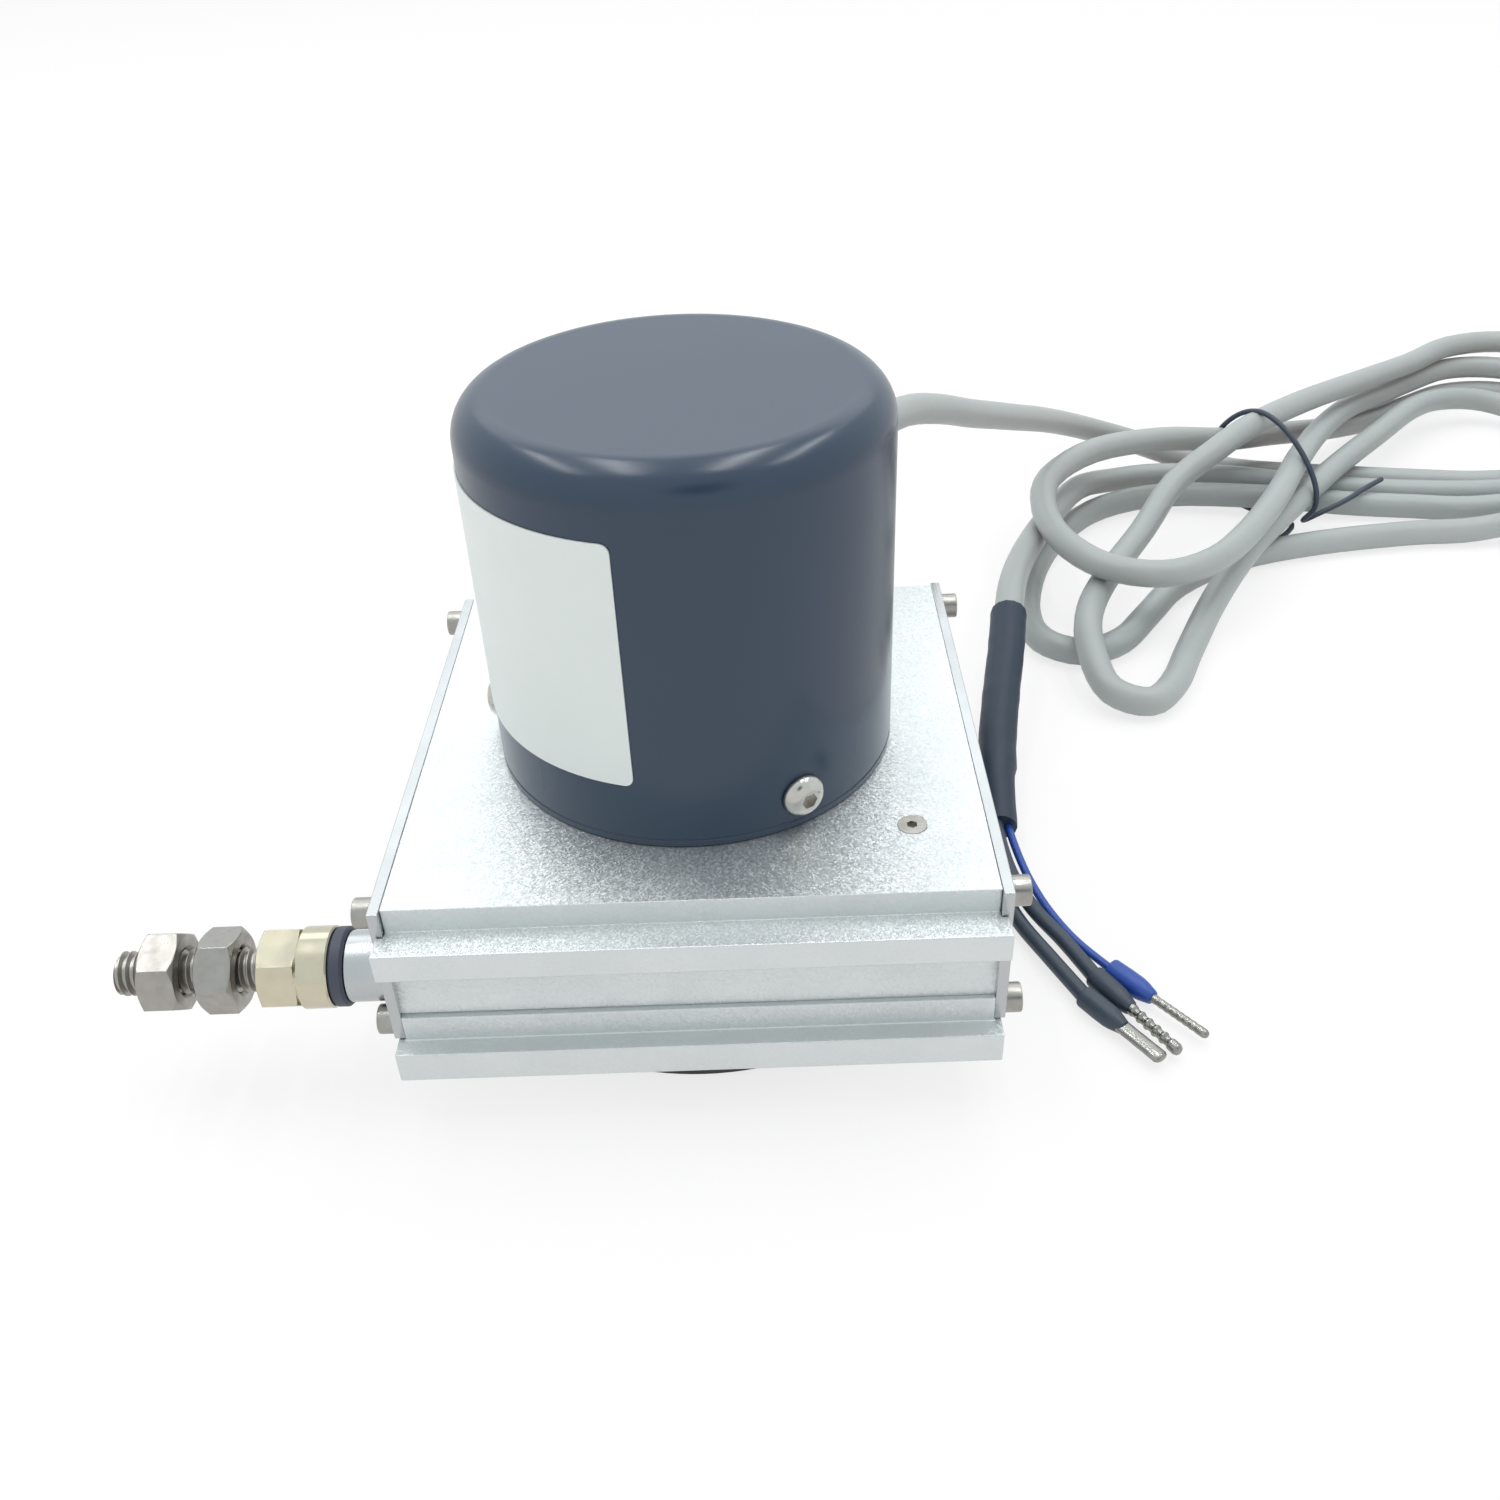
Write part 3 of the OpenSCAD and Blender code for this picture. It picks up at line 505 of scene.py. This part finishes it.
tie_loop = [(-1, 1.3), (5, 0.75), (13, 0.75), (21, 0.75), (24.5, 3.2), (25.2, 8), (24.3, 13.5),
            (21.5, 18.5), (17.5, 22.3), (13, 24), (8.5, 23.4), (4, 21.3), (0, 18.3),
            (-3.4, 14.7), (-5.5, 10.8), (-5.7, 7), (-3.6, 3.5)]
tie_route = ([(121, 106.5, 0.8), (127, 111.5, 0.9)] + [tie_point(*p) for p in tie_loop]
             + [(136, 115.5, 4.5), (142.5, 117.5, 6.6), (149, 122.5, 7.2), (154.3, 126.8, 7.2)])
tie = dress(strand("twist_tie_wire", tie_route, 1.2 * MM), "housing", "black_insulation",
            "twist_tie")


# ---------- housing ----------

dress(eased("housing_extrusion", "housing_body", 0.22, 20), "housing", "blasted_aluminium",
      "housing_extrusion")
for side in ("left", "right"):
    dress(eased("end_plate_" + side, "end_cover_" + side, 0.15, 3), "housing",
          "satin_aluminium", "end_plate_" + side)
dress(eased("spring_case", "spring_housing", 0), "housing", "black_plastic", "spring_case")


def socket_screw(profile, across_flats, floor, top):
    """A screw head with a hexagon socket that goes from its top down to its floor."""
    head = turned("screw_head", profile, 48)
    bpy.ops.object.select_all(action="DESELECT")
    bpy.ops.mesh.primitive_cylinder_add(vertices=6, radius=across_flats / sqrt(3) * MM,
                                        depth=(top - floor) * MM,
                                        location=mm(0, 0, (top + floor) / 2))
    return combine(head, bpy.context.object)


def screw_places(side):
    """Where the four M2 screws of an end plate sit, heads outwards."""
    low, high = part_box("end_plate_" + side)
    seat, outwards = (high.x, 1) if side == "right" else (low.x, -1)
    turn = Matrix.Rotation(outwards * pi / 2, 4, "Y")
    upper, lower = (35.4, 31.4), (36.4, 13.4)
    return [Matrix.Translation((seat, half * y * MM, z * MM)) @ turn
            for half in (-1, 1) for y, z in (upper, lower)]


# Screws, as profiles of (radius, height) from the face that each head sits on
M2_HEAD = [(0, -8), (0.95, -8), (0.95, 0.01), (1.9, 0.01), (2, 0.12), (2, 2.25), (1.97, 2.38),
           (1.88, 2.47), (1.75, 2.5), (0, 2.5)]
for side in ("left", "right"):
    cover_screw = socket_screw(M2_HEAD, 1.5, floor=1.4, top=3.5)
    dress(copies(cover_screw, "cover_screws_" + side, screw_places(side)), "housing",
          "zinc_steel", "end_plate_screws_" + side)

top_low, top_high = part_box("top_screw")
FLAT_HEAD = [(0, -5.5), (0.95, -5.5), (0.95, -1.05), (1.95, -0.08), (1.9, -0.03), (0, -0.03)]
top_place = Matrix.Translation(((top_low.x + top_high.x) / 2, (top_low.y + top_high.y) / 2,
                                z_top))
flat_screw = socket_screw(FLAT_HEAD, 1.3, floor=-0.7, top=1)
dress(copies(flat_screw, "flush_screw", [top_place]), "housing", "zinc_steel", "top_screw")


# ---------- pull fitting ----------

dress(eased("wire_outlet_boss", "outlet_boss", 0.15, 0.3, 60), "housing", "satin_aluminium",
      "wire_outlet_boss")

bumper_t = (bumper_high.x - bumper_low.x) / MM
rubber = turned("rubber_bumper", [(0.85, 0), (5.0, 0), (5.3, 0.35), (5.3, bumper_t - 0.35),
                                  (5.0, bumper_t), (0.85, bumper_t), (0.85, 0)],
                at=(bumper_high.x, wire_axis.y, wire_axis.z), turn=ALONG_PULL)
dress(rubber, "pull_end", "black_rubber", "bumper")


def hexagon_bar(name, across_flats, length, chamfer, first_mm=0):
    """A hexagon bar whose corners are turned off at both ends. One that starts first_mm up
    keeps its corners there."""
    bpy.ops.object.select_all(action="DESELECT")
    bpy.ops.mesh.primitive_cylinder_add(vertices=6, radius=across_flats / sqrt(3) * MM,
                                        depth=length * MM, location=mm(0, 0, length / 2))
    bar = bpy.context.object
    bar.name = name
    corner = across_flats / sqrt(3) + 0.02
    face = across_flats / 2 - 0.15
    barrel = turned("barrel", [(0, first_mm), (face if not first_mm else corner, first_mm),
                               (corner, max(chamfer, first_mm)), (corner, length - chamfer),
                               (face, length), (0, length)], 96)
    combine(bar, barrel, "INTERSECT")
    apply_modifier(bar, "BEVEL", width=0.12 * MM, segments=2, limit_method="ANGLE",
                   angle_limit=radians(25), use_clamp_overlap=True)
    return bar


def bored(bar, radius, length, mouth):
    """Drills the bar through and eases both mouths of the hole."""
    wide = radius + mouth + 1
    drill = turned("drill", [(0, -1), (wide, -1), (radius, mouth), (radius, length - mouth),
                             (wide, length + 1), (0, length + 1)], 48)
    return combine(bar, drill)


# The nuts: where each one starts, and how far it is rolled round the stud
NUT_T = 5
SPANNER = 10
NUT_BORE = 3.03
nuts = []
for nut_x, roll in ((-60.5, 15), (-68, -15)):
    nut = bored(hexagon_bar("nut", SPANNER, NUT_T, 0.6), NUT_BORE, NUT_T, 0.45)
    settle(nut, turn=(0, 0, radians(roll)))
    nuts.append(settle(nut, at=(nut_x * MM, wire_axis.y, wire_axis.z), turn=ALONG_PULL))
dress(joined("lock_nuts", nuts), "pull_end", "zinc_steel", "clamp_nuts")

# The collar: a turned ring beside the bumper, then a hexagon for the spanner
collar_l = (collar_high.x - collar_low.x) / MM
ROUND_L = 4.3
collar_ring = turned("collar_ring", [(0, 0.05), (5.25, 0.05), (5.45, 0.25), (5.45, ROUND_L - 0.35),
                                     (5.3, ROUND_L - 0.15), (5.1, ROUND_L - 0.1),
                                     (5.1, ROUND_L + 0.3), (0, ROUND_L + 0.3)], 96)
collar_hexagon = hexagon_bar("collar_hexagon", SPANNER, collar_l, 0.45, ROUND_L)
settle(collar_hexagon, turn=(0, 0, radians(-15)))
end_collar = joined("end_collar", [collar_ring, collar_hexagon])
settle(end_collar, at=(collar_high.x, wire_axis.y, wire_axis.z), turn=ALONG_PULL)
dress(end_collar, "pull_end", "nickel_brass", "wire_end_collar")


def threaded(name, crest, root, pitch, length):
    """A threaded bar along Z: one tooth of the thread is swept up a helix, cut square at both
    ends and chamfered."""
    tooth = [(root, 0), (root, 0.14), (crest, 0.44), (crest, 0.56), (root, 0.86), (root, 1)]
    obj = polyline(name, [mm(r, 0, (t - 1) * pitch) for r, t in tooth])
    bpy.ops.object.mode_set(mode="OBJECT")
    apply_modifier(obj, "SCREW", angle=2 * pi, screw_offset=pitch * MM, axis="Z",
                   iterations=int(length / pitch) + 3, steps=40, render_steps=40,
                   use_merge_vertices=True, merge_threshold=1e-6)
    for height, outwards in ((0, -1), (length, 1)):
        start_editing(obj)
        bpy.ops.mesh.bisect(plane_co=mm(0, 0, height), plane_no=(0, 0, outwards), use_fill=True,
                            clear_outer=True)
    close_up()
    settle(obj)
    barrel = turned("barrel", [(0, -1), (crest + 1, -1), (crest + 1, length - 0.75),
                               (root - 0.15, length), (0, length)], 48)
    return combine(obj, barrel, "INTERSECT")


STUD_IN_COLLAR = 0.6
stud_l = (collar_low.x - stud_low.x) / MM + STUD_IN_COLLAR
stud = threaded("threaded_stud", 2.97, 2.4, 1.0, stud_l)
settle(stud, at=(collar_low.x + STUD_IN_COLLAR * MM, wire_axis.y, wire_axis.z), turn=ALONG_PULL)
dress(stud, "pull_end", "zinc_steel", "pull_stud")

# The wire from the drum's edge to the ferrule, which pays out as the fitting is pulled
rope_low, rope_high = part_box("draw_wire")
bpy.ops.object.select_all(action="DESELECT")
bpy.ops.mesh.primitive_cylinder_add(vertices=12, radius=(rope_high.z - rope_low.z) / 2,
                                    depth=rope_high.x - rope_low.x, end_fill_type="TRIFAN",
                                    location=(rope_low + rope_high) / 2)
rope = bpy.context.object
rope.name = "wire_rope"
settle(rope, turn=ALONG_PULL)
start_editing(rope, "EDGE")
ROPE_LENGTHS = 12
for cut in range(1, ROPE_LENGTHS):
    cut_x = rope_low.x + cut / ROPE_LENGTHS * (rope_high.x - rope_low.x)
    bpy.ops.mesh.select_all(action="SELECT")
    bpy.ops.mesh.bisect(plane_co=(cut_x, 0, 0), plane_no=(1, 0, 0))
settle(rope)
finish(rope, "rope_steel")
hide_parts("draw_wire")
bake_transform(rope)


# ---------- encoder cap ----------

ROUND = 5.2
SKIN = 1.6
CAP_R = cap_r / MM
CAP_H = (cap_high.z - cap_low.z) / MM
arc = [radians(a) for a in range(0, 91, 9)]
cap_profile = ([(CAP_R - SKIN, 0), (CAP_R - 0.35, 0), (CAP_R, 0.25), (CAP_R, 0.95),
                (CAP_R - 0.12, 1.05), (CAP_R - 0.12, 1.2), (CAP_R, 1.35)]
               + [(CAP_R - ROUND * (1 - cos(a)), CAP_H - ROUND * (1 - sin(a))) for a in arc]
               + [(0, CAP_H), (0, CAP_H - SKIN), (CAP_R - ROUND, CAP_H - SKIN),
                  (CAP_R - SKIN, CAP_H - ROUND), (CAP_R - SKIN, 0)])
shell = turned("spun_cap", cap_profile, 192, at=(0, 0, z_top))
dress(shell, "housing", "cap_coating", "encoder_cap")

dress(eased("label", "bare_label", 0), "housing", "label_film", "label")

BUTTON_HEAD = [(0, -7), (1.45, -7), (1.45, 0), (2.85, 0), (2.98, 0.08), (3, 0.25), (2.93, 0.6),
               (2.7, 1.02), (2.3, 1.4), (1.85, 1.66), (1.4, 1.8), (1.15, 1.82), (0, 1.82)]
button = socket_screw(BUTTON_HEAD, 2, floor=0.6, top=3)
BUTTONS_UP = 5
seats = [Matrix.Rotation(radians(a), 4, "Z")
         @ Matrix.Translation((cap_r, 0, z_top + BUTTONS_UP * MM))
         @ Matrix.Rotation(pi / 2, 4, "Y") for a in (-59, 59, 177)]
dress(copies(button, "button_screws", seats), "housing", "zinc_steel", "cap_screws",
      looks="bright_zinc")

# The grommet: a flange against the cap, then a tapered tail with three soft ribs
tail = [(5.5, 0), (5.5, 1.3), (5.1, 1.6), (4.6, 1.9), (4.5, 4.4), (4.15, 4.6), (4.15, 5.4),
        (4.4, 5.6), (4.3, 7.6), (3.9, 7.8), (3.9, 8.6), (4.1, 8.8), (4, 10.6), (3.6, 10.8),
        (3.6, 11.6), (3.8, 11.8), (3.65, 13.6), (3.4, 14), (2.78, 14), (2.78, 0), (5.5, 0)]
GROMMET_HEADING, GROMMET_Z = 60, 57
grommet = turned("cable_gland", tail, 48, at=(0, 0, CAP_R * MM))
settle(grommet, turn=(0, pi / 2, 0))
settle(grommet, turn=(0, 0, radians(GROMMET_HEADING)))
settle(grommet, at=(0, 0, GROMMET_Z * MM))
dress(grommet, "housing", "black_plastic", "cable_grommet")


# ---------- leads and ferrules ----------

# Each lead: its thickness in mm, its heading on the table in degrees, its finish and its route
LEADS = {
    "blue": (1.3, -52, "blue_insulation", [(49, 10.5, 4.2), (49.6, 4, 3.6), (50.7, -2, 2.8),
                                           (52.6, -8, 2), (55.4, -14.5, 1.8),
                                           (59.3, -20.6, 1.8)]),
    "black_a": (2.4, -60, "black_insulation", [(46.9, 10.5, 5), (47, 4, 4.6),
                                               (47.9, -2, 3.6), (50.2, -8, 2.4),
                                               (53.6, -14.5, 1.9), (56.6, -22, 1.9)]),
    "black_b": (2.4, -56, "black_insulation", [(47.3, 10.5, 2.7), (46.4, 4, 2),
                                               (46.3, -3, 1.6), (47.8, -10, 1.6),
                                               (51, -18.2, 1.9), (54.3, -25.8, 1.9)])}
COLLAR_L = 7.6
ferrule_collar = [(0, 0.3), (1.2, 0.3), (1.3, 0), (1.6, 0.05), (1.7, 0.3), (1.72, 3), (1.66, 5),
                  (1.5, 5.9), (1.1, COLLAR_L - 0.2), (1, COLLAR_L), (0, COLLAR_L)]


def pin_profile(radius, dent, dents, pin_l=9.4):
    """A ferrule's tube, dented by the crimping jaws, with a rounded tip."""
    made = [(0, COLLAR_L - 0.5), (radius, COLLAR_L - 0.5)]
    step = (pin_l - 2) / dents
    for i in range(dents):
        z = COLLAR_L + 0.6 + i * step
        made += [(radius, z), (radius - dent, z + 0.25 * step), (radius - dent, z + 0.6 * step),
                 (radius, z + 0.85 * step)]
    end = COLLAR_L + pin_l
    return made + [(radius, end - 0.5), (radius - 0.2, end - 0.1), (radius - 0.35, end), (0, end)]


def on_table(obj, lead):
    """Lays a turned piece along the table from the end of its lead."""
    _, heading, _, route = LEADS[lead]
    settle(obj, turn=(0, pi / 2, 0))
    settle(obj, turn=(0, 0, radians(heading)))
    return settle(obj, at=mm(*route[-1]))


def flattened(obj, height, width):
    """Squeezes a pin in the crimping jaws: lower and wider."""
    start_editing(obj)
    bpy.ops.transform.resize(value=(height, width, 1), center_override=(0, 0, 0))
    return settle(obj)


collars = {lead: on_table(turned("ferrule_collar_" + lead, ferrule_collar, 40), lead)
           for lead in LEADS}
pin_blue = turned("pin_blue", pin_profile(0.68, 0.05, 7), 24)
pin_a = flattened(turned("pin_a", pin_profile(0.95, 0.22, 5), 24), 1, 0.9)
pin_b = flattened(turned("pin_b", pin_profile(0.95, 0.02, 2, 7), 24), 0.7, 1.3)
pins = [on_table(pin_blue, "blue"), on_table(pin_a, "black_a"), on_table(pin_b, "black_b")]
dress(collars["blue"], "housing", "blue_insulation", "ferrule_sleeve_blue")
for lead in ("black_a", "black_b"):
    dress(collars[lead], "housing", "black_insulation", "ferrule_sleeves_black")
crimped_pins = dress(joined("crimped_pins", pins),
                     "housing", "tinned_copper", "ferrule_pins")
for lead, (thickness, _, slot, route) in LEADS.items():
    wire = dress(strand("wire_" + lead, route, thickness * MM, 6), "housing", slot,
                 "lead_" + lead)


# ---------- floor, light and backdrop ----------

def seen_as(tree, by_camera, by_mirror):
    """A strength for camera and glass rays, another for mirror rays, and none for the rest."""
    rays = add(tree, "LightPath")
    direct = add(tree, "Math", {0: rays.outputs["Is Camera Ray"],
                                1: rays.outputs["Is Transmission Ray"]}, operation="MAXIMUM")
    mirrored = add(tree, "Math", {0: rays.outputs["Is Glossy Ray"], 1: by_mirror},
                   operation="MULTIPLY")
    return add(tree, "Math", {0: direct.outputs[0], 1: by_camera, 2: mirrored.outputs[0]},
               operation="MULTIPLY_ADD").outputs[0]


def add_floor():
    """White paper that keeps the shadow: part of it glows for the camera."""
    bpy.ops.object.select_all(action="DESELECT")
    bpy.ops.mesh.primitive_plane_add(size=6)
    floor = bpy.context.object
    floor.name = "floor"
    material = bpy.data.materials.new("white_paper")
    material.use_nodes = True
    tree = material.node_tree
    tree.nodes.clear()
    matt = add(tree, "BsdfDiffuse", {"Color": linear("#f2f2f2")})
    glow = add(tree, "Emission", {"Color": (1, 1, 1, 1), "Strength": seen_as(tree, 1.0, 0.85)})
    shown = add(tree, "MixShader", {0: seen_as(tree, 0.75, 0.75), 1: matt.outputs[0],
                                    2: glow.outputs[0]})
    add(tree, "OutputMaterial", {"Surface": shown.outputs[0]})
    floor.data.materials.append(material)


def add_world():
    """A white page for the camera, and for mirrors a room that is brighter at the back."""
    world = bpy.data.worlds.new("white_studio")
    world.use_nodes = True
    tree = world.node_tree
    tree.nodes.clear()
    direction = add(tree, "TexCoord").outputs["Generated"]
    heading = add(tree, "SeparateXYZ", {"Vector": direction})
    room = add(tree, "MapRange", {"Value": heading.outputs[1], "From Min": -0.6,
                                  "From Max": 0.5, "To Min": 0.92, "To Max": 1.0})
    ambient = add(tree, "Background", {"Color": (1, 1, 1, 1), "Strength": 0.84})
    page = add(tree, "Background", {"Color": (1, 1, 1, 1), "Strength": 1.0})
    # The opening that the picture is taken through, dark between the white walls
    toward_camera = (0.2, -0.76, 0.62)
    aside = add(tree, "VectorMath", {0: direction, 1: toward_camera}, operation="DISTANCE")
    opening = add(tree, "MapRange", {"Value": aside.outputs["Value"], "From Min": 0.12,
                                     "From Max": 0.3, "To Min": 0.15, "To Max": 1.0})
    dimmed = add(tree, "Math", {0: room.outputs[0], 1: opening.outputs[0]}, operation="MULTIPLY")
    walls = add(tree, "Background", {"Color": linear("#f5fcff"), "Strength": dimmed.outputs[0]})
    lit = add(tree, "MixShader", {0: seen_as(tree, 0.0, 1.0), 1: ambient.outputs[0],
                                  2: walls.outputs[0]})
    shown = add(tree, "MixShader", {0: seen_as(tree, 1.0, 0.0), 1: lit.outputs[0],
                                    2: page.outputs[0]})
    add(tree, "OutputWorld", {"Surface": shown.outputs[0]})
    bpy.context.scene.world = world


def add_lamp(name, place, target, size, power):
    """A soft panel that faces the target."""
    data = bpy.data.lights.new(name, "AREA")
    data.shape = "RECTANGLE"
    data.size, data.size_y = size
    data.energy = power
    lamp = bpy.data.objects.new(name, data)
    lamp.location = place
    lamp.rotation_euler = (Vector(target) - Vector(place)).to_track_quat("-Z", "Y").to_euler()
    lamp.visible_camera = False
    bpy.context.scene.collection.objects.link(lamp)


add_floor()
add_world()
add_lamp("back_panel", (0, 0.9, 0.75), (0, 0, 0.05), (1.4, 0.5), 1.7)
for i, across in enumerate((-0.42, -0.16, 0.14, 0.43)):
    add_lamp("ceiling_strip_%d" % i, (across, 0.15, 0.7), (across, 0.15, 0), (0.03, 0.5), 0.8)
